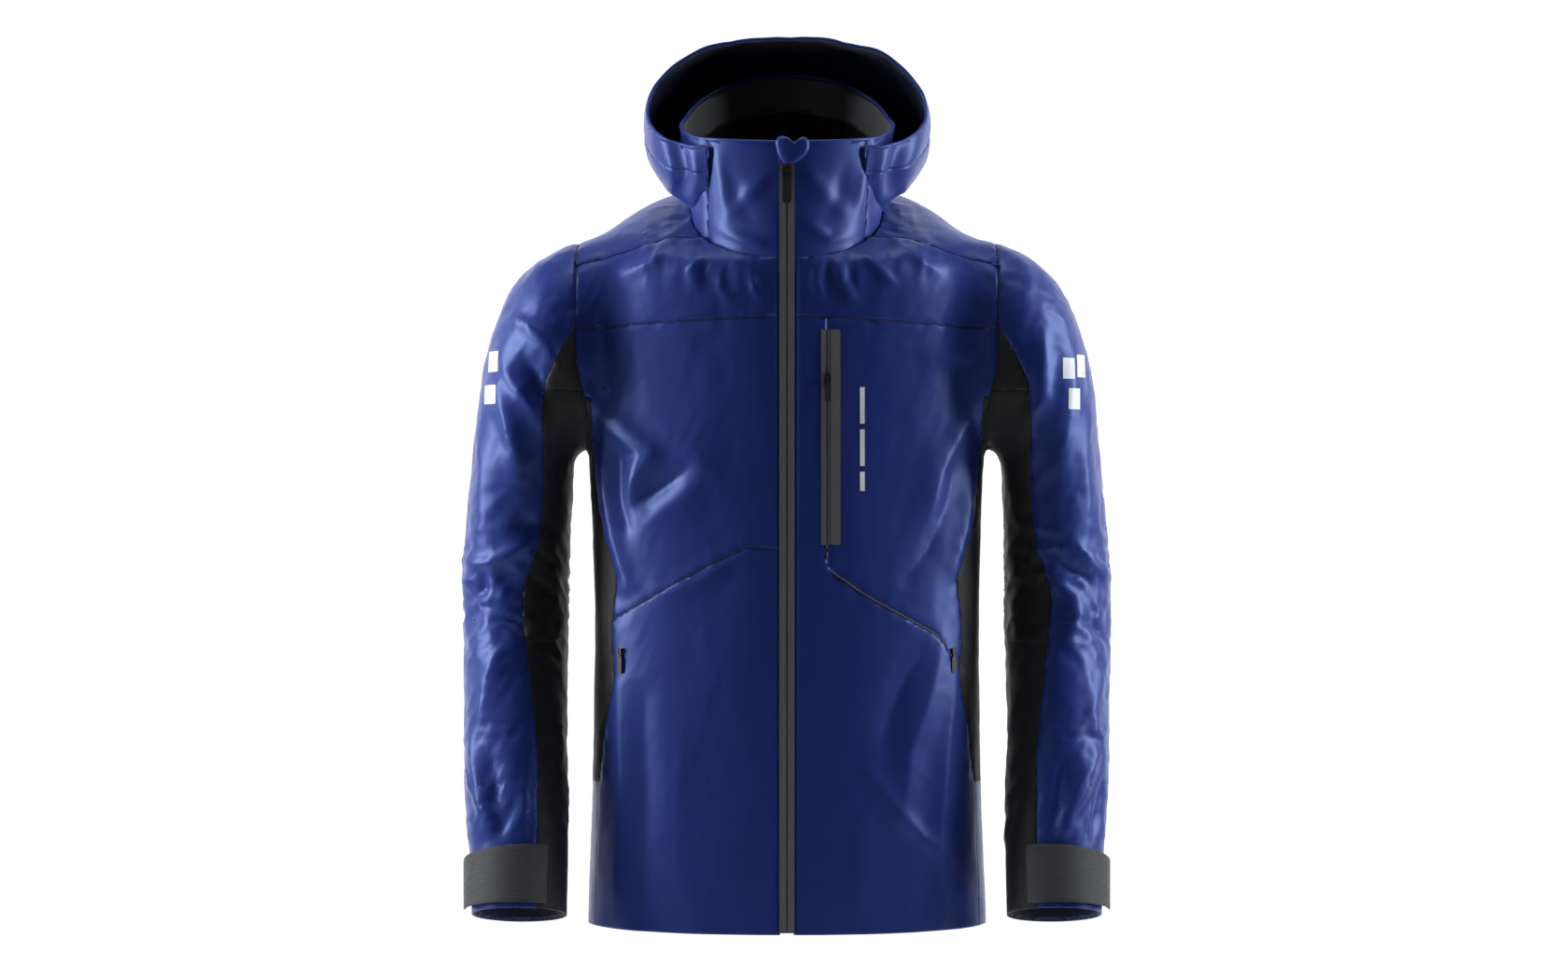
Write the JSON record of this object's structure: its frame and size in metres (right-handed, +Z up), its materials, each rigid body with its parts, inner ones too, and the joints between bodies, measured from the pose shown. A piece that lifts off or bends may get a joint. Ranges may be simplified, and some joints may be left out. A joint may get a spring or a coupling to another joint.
{
  "type": "foul weather jacket",
  "caption": "Hooded waterproof sailing jacket with a full front zip, high fleece lined collar, stretch side and under-sleeve panels, vertical chest pocket and ribbed cuff tabs.",
  "frame": {"origin": "middle of the hem opening, at the height of the hem", "axes": "+Z up through the neck, front towards -Y, the wearer's left towards +X"},
  "size_m": [0.692, 0.276, 0.9507],
  "materials": {
    "shell_blue": "satin three layer membrane shell",
    "stretch_black": "matte black stretch shell",
    "ribbed_grey": "matte ribbed moulded tab",
    "facing_black": "matte woven facing and tape",
    "fleece_black": "brushed fleece",
    "lining_mesh": "smooth woven lining",
    "zip_tape": "satin coated zip tape",
    "zip_plastic": "moulded black",
    "puller_rubber": "soft moulded puller"
  },
  "bodies": {
    "shell": {"back_panel": "shell_blue", "body_lining": "lining_mesh", "chest_panel_left": "shell_blue", "chest_panel_right": "shell_blue", "chest_pocket_bag": "lining_mesh", "chest_pocket_welt": "zip_tape", "chest_zip": "zip_tape", "collar_back": "shell_blue", "collar_facing": "facing_black", "collar_front_left": "shell_blue", "collar_front_right": "shell_blue", "collar_lining": "fleece_black", "front_yoke_left": "shell_blue", "front_yoke_right": "shell_blue", "hand_pocket_bag_left": "lining_mesh", "hand_pocket_bag_right": "lining_mesh", "hand_zip_left": "zip_tape", "hand_zip_right": "zip_tape", "hang_loop": "facing_black", "hem_band": "facing_black", "hood_base": "shell_blue", "lower_front_left": "shell_blue", "lower_front_right": "shell_blue", "shoulder_yoke": "shell_blue", "side_hem_left": "shell_blue", "side_hem_right": "shell_blue", "side_panel_left": "stretch_black", "side_panel_right": "stretch_black", "under_sleeve_left": "stretch_black", "under_sleeve_right": "stretch_black", "underarm_gusset_left": "stretch_black", "underarm_gusset_right": "stretch_black", "upper_sleeve_left": "shell_blue", "upper_sleeve_right": "shell_blue", "zip_bottom_box": "zip_plastic", "zip_garage": "shell_blue", "zip_tape_left": "zip_tape", "zip_tape_right": "zip_tape", "zip_teeth_left": "zip_plastic", "zip_teeth_right": "zip_plastic"},
    "hood": {"hood_brim": "shell_blue", "hood_centre": "shell_blue", "hood_side_left": "shell_blue", "hood_side_right": "shell_blue"},
    "forearm_left": {"lower_sleeve_left": "shell_blue", "lower_under_sleeve_left": "stretch_black", "cuff_band_left": "stretch_black"},
    "forearm_right": {"lower_sleeve_right": "shell_blue", "lower_under_sleeve_right": "stretch_black", "cuff_band_right": "stretch_black"},
    "tab_left": {"cuff_tab_left": "ribbed_grey"},
    "tab_right": {"cuff_tab_right": "ribbed_grey"},
    "main_slider": {"main_zip_slider": "zip_plastic"},
    "main_puller": {"main_zip_puller": "puller_rubber"},
    "chest_slider": {"chest_zip_slider": "zip_plastic"},
    "chest_puller": {"chest_zip_puller": "puller_rubber"},
    "hand_slider_left": {"hand_zip_slider_left": "zip_plastic"},
    "hand_puller_left": {"hand_zip_puller_left": "puller_rubber"},
    "hand_slider_right": {"hand_zip_slider_right": "zip_plastic"},
    "hand_puller_right": {"hand_zip_puller_right": "puller_rubber"}
  },
  "joints": [
    {"name": "hood_fold", "type": "hinge", "parent": "shell", "child": "hood", "pos_m": [0, 0.108, 0.813], "axis": [-1, 0, 0], "range_deg": [0, 85]},
    {"name": "elbow_left", "type": "hinge", "parent": "shell", "child": "forearm_left", "pos_m": [0.291, 0.022, 0.352], "axis": [-1, 0, 0], "range_deg": [0, 55]},
    {"name": "cuff_tab_left_peel", "type": "hinge", "parent": "forearm_left", "child": "tab_left", "pos_m": [0.262, -0.11294, 0.05847], "axis": [0, -0.2689, -0.9632], "range_deg": [0, 110]},
    {"name": "elbow_right", "type": "hinge", "parent": "shell", "child": "forearm_right", "pos_m": [-0.291, 0.022, 0.352], "axis": [-1, 0, 0], "range_deg": [0, 55]},
    {"name": "cuff_tab_right_peel", "type": "hinge", "parent": "forearm_right", "child": "tab_right", "pos_m": [-0.262, -0.11294, 0.05847], "axis": [0, 0.2689, 0.9632], "range_deg": [0, 110]},
    {"name": "main_zip_slide", "type": "slide", "parent": "shell", "child": "main_slider", "axis": [0, 0.022, 0.9998], "range_m": [-0.765, 0]},
    {"name": "main_puller_swing", "type": "hinge", "parent": "main_slider", "child": "main_puller", "pos_m": [0, -0.11167, 0.79211], "axis": [-1, 0, 0], "range_deg": [0, 150]},
    {"name": "chest_zip_slide", "type": "slide", "parent": "shell", "child": "chest_slider", "axis": [0, 0.0208, 0.9998], "range_m": [-0.163, 0.045]},
    {"name": "chest_puller_swing", "type": "hinge", "parent": "chest_slider", "child": "chest_puller", "pos_m": [0.04213, -0.11493, 0.57723], "axis": [-0.9942, -0.1079, 0.0022], "range_deg": [0, 150]},
    {"name": "hand_zip_slide_left", "type": "slide", "parent": "shell", "child": "hand_slider_left", "axis": [0, 0.0209, 0.9998], "range_m": [-0.132, 0]},
    {"name": "hand_puller_swing_left", "type": "hinge", "parent": "hand_slider_left", "child": "hand_puller_left", "pos_m": [0.17568, -0.0695, 0.29219], "axis": [-0.7725, -0.6348, 0.0133], "range_deg": [0, 150]},
    {"name": "hand_zip_slide_right", "type": "slide", "parent": "shell", "child": "hand_slider_right", "axis": [0, 0.0209, 0.9998], "range_m": [-0.132, 0]},
    {"name": "hand_puller_swing_right", "type": "hinge", "parent": "hand_slider_right", "child": "hand_puller_right", "pos_m": [-0.17568, -0.0695, 0.29219], "axis": [-0.7725, 0.6348, -0.0133], "range_deg": [0, 150]}
  ]
}
